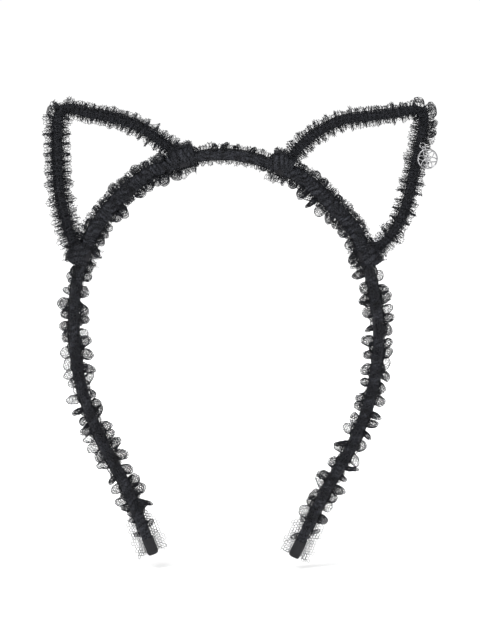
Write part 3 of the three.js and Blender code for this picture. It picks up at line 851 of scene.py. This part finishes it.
def join_loops(name, loops):
    """One mesh of several closed loops of round wire: (points, wire radius)."""
    points, faces, first = [], [], 0
    for line, radius in loops:
        rings = tube(line, radius, closed=True)
        rows, columns = rings.shape[:2]
        rings = np.concatenate([rings, rings[:1]])
        faces.append(quads_of(rows + 1, columns) % (rows * columns) + first)
        points.append(rings[:-1].reshape(-1, 3))
        first += rows * columns
    return add_mesh(name, np.concatenate(points), faces)


def add_charm():
    """A rim with six petals round a small ring and an eye on top, its jump ring, and the thread loop."""
    rim = CHARM_RADIUS - RIM_WIRE
    loops = [(CHARM_CENTRE + loop_of((0, 0), rim, rim, count=72), RIM_WIRE)]
    loops += [
        (CHARM_CENTRE + loop_of((0, 2.1), 0.92, 1.75, turn=k * math.pi / 3), PETAL_WIRE)
        for k in range(6)
    ]
    loops.append((CHARM_CENTRE + loop_of((0, 0), 0.62, 0.62, count=24), 0.24))
    eye = loop_of((0, CHARM_RADIUS + 0.5), EYE_RADIUS, EYE_RADIUS, count=24)
    loops.append((CHARM_CENTRE + eye, EYE_WIRE))
    dress(join_loops("charm_openwork", loops), "charm", ["charm"], "silver")

    ring = RING_CENTRE + loop_of(
        (0, 0), JUMP_RADIUS, JUMP_RADIUS, count=40, start=2.5, end=2.5 + 5.9,
    )
    dress(add_solid("jump_ring", tube(ring, JUMP_WIRE)), "jump_ring", ["charm_jump_ring"], "silver")

    t = np.linspace(0, 2 * math.pi, 28, endpoint=False)[:, None]
    middle = RING_CENTRE + CHARM_UP * 1.4
    upright = np.cos(t) * np.array([0, 1, 0]) + np.sin(t) * CHARM_UP
    thread = middle + THREAD_LOOP_RADIUS * upright
    loop = join_loops("thread_loop", [(thread, THREAD_LOOP_WIRE)])
    dress(loop, "headband", ["charm_thread_loop"], "thread")


def add_cap(side):
    """A rounded end over the tape."""
    route = TO_TIP[side]
    end = route.length
    t = np.linspace(0, 1, 22)[:, None]
    angle = np.linspace(0, 2 * math.pi, 32, endpoint=False)[None]
    s = end - CAP_START + CAP_LENGTH * np.sin(t * math.pi / 2)
    grow = np.minimum(1, (1 - t**6) ** 0.5 + 0.02)
    cos, sin = np.cos(angle), np.sin(angle)
    rings = route.around(
        s, CAP_HALF * grow * np.sign(cos) * np.abs(cos) ** 0.7,
        CAP_HALF_DEPTH * grow * np.sign(sin) * np.abs(sin) ** 0.7,
    )
    dress(add_solid(f"{side}_rounded_cap", rings), f"{side}_arm", [f"{side}_end_cap"], "cap")


for side in ("left", "right"):
    dress_arm(side)
    dress_shoulder(side)
    dress_ear(side)
    dress_foot(side, "inner", CROTCH[side])
    dress_foot(side, "outer", FOOT[side])
    add_cap(side)
dress_crown()
add_charm()

# the CAD pieces are painted too, for those of them that stay in sight or inside
for name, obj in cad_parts.items():
    kind = next((k for k in ("thread", "binding", "tape", "core", "wire", "cap") if k in name), "")
    obj.data.materials.clear()
    obj.data.materials.append(PAINTS.get(kind, SILVER))

# ---------------------------------------------------------------- floor, light and camera
FLOOR_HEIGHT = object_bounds()[0][2]
CENTRE = Vector((5.7 * MM, 0, -65.4 * MM))     # middle of the view
VIEW_HEIGHT = 268.8 * MM
FLOOR_HALF = 6.0                                # metres


def add_floor():
    """Pale paper at the height of the lowest piece, glowing with painted light."""
    corners = np.array([(-1, -1, 0), (1, -1, 0), (1, 1, 0), (-1, 1, 0)]) * FLOOR_HALF / MM
    corners[:, 2] += FLOOR_HEIGHT / MM
    floor = add_mesh("floor", corners, [np.arange(4)[None]], smooth=False)
    made, shader = material("floor_paper", (0.93, 0.93, 0.93), 0.9, 0.0)
    tree = made.node_tree
    place = tree.nodes.new("ShaderNodeTexCoord")
    grain = node(tree, "ShaderNodeTexNoise", Scale=3.0)
    tree.links.new(place.outputs["Object"], grain.inputs["Vector"])
    color = ramp_between(tree, grain.outputs["Fac"], (0.93, 0.93, 0.93), (0.95, 0.95, 0.95))
    tree.links.new(color, shader.inputs["Base Color"])
    shader.inputs["Emission Color"].default_value = (1, 1, 1, 1)
    # painted light: the paper glows white, weakly beside the headband and more strongly away from it
    away = tree.nodes.new("ShaderNodeVectorMath")
    away.operation = "LENGTH"
    tree.links.new(place.outputs["Object"], away.inputs[0])
    glow = ranged(tree, away.outputs["Value"], 0.17, 0.5, 0.32, 1.0)
    tree.links.new(glow, shader.inputs["Emission Strength"])
    floor.data.materials.append(made)


def ranged(tree, source, from_low, from_high, to_low, to_high):
    """One range of values made into another."""
    made = node(tree, "ShaderNodeMapRange", **{
        "From Min": from_low, "From Max": from_high, "To Min": to_low, "To Max": to_high,
    })
    tree.links.new(source, made.inputs["Value"])
    return made.outputs["Result"]


def add_world():
    """White round the horizon, as studio walls are, and dimmer overhead."""
    world = bpy.data.worlds.new("studio")
    bpy.context.scene.world = world
    world.use_nodes = True
    tree = world.node_tree
    place = tree.nodes.new("ShaderNodeTexCoord")
    split = tree.nodes.new("ShaderNodeSeparateXYZ")
    tree.links.new(place.outputs["Generated"], split.inputs["Vector"])
    strength = ranged(tree, split.outputs["Z"], 0.18, 0.4, 1.03, 0.25)
    background = tree.nodes["Background"]
    background.inputs["Color"].default_value = (1, 1, 1, 1)
    tree.links.new(strength, background.inputs["Strength"])


def add_softbox(name, place, size, power):
    light = bpy.data.lights.new(name, "AREA")
    light.shape, light.size, light.energy = "DISK", size, power
    obj = bpy.data.objects.new(name, light)
    obj.location = place
    obj.rotation_euler = (CENTRE - Vector(place)).to_track_quat("-Z", "Y").to_euler()
    bpy.context.scene.collection.objects.link(obj)


def add_camera(distance=1.3, elevation=math.radians(4)):
    camera = bpy.data.cameras.new("camera")
    camera.sensor_fit, camera.sensor_height = "VERTICAL", 24
    camera.lens = camera.sensor_height * distance / VIEW_HEIGHT
    obj = bpy.data.objects.new("camera", camera)
    back = Vector((0, -math.cos(elevation), math.sin(elevation)))
    obj.location = CENTRE + back * distance
    obj.rotation_euler = (-back).to_track_quat("-Z", "Y").to_euler()
    bpy.context.scene.collection.objects.link(obj)
    bpy.context.scene.camera = obj


add_floor()
add_world()
add_softbox("key", (-0.55, -0.75, 1.0), 0.9, 14)
add_softbox("fill", (0.9, -0.8, 0.2), 0.6, 3)
add_softbox("back", (0.1, 0.9, 1.0), 0.9, 6)
add_camera()
bpy.context.scene.view_settings.view_transform = "Standard"
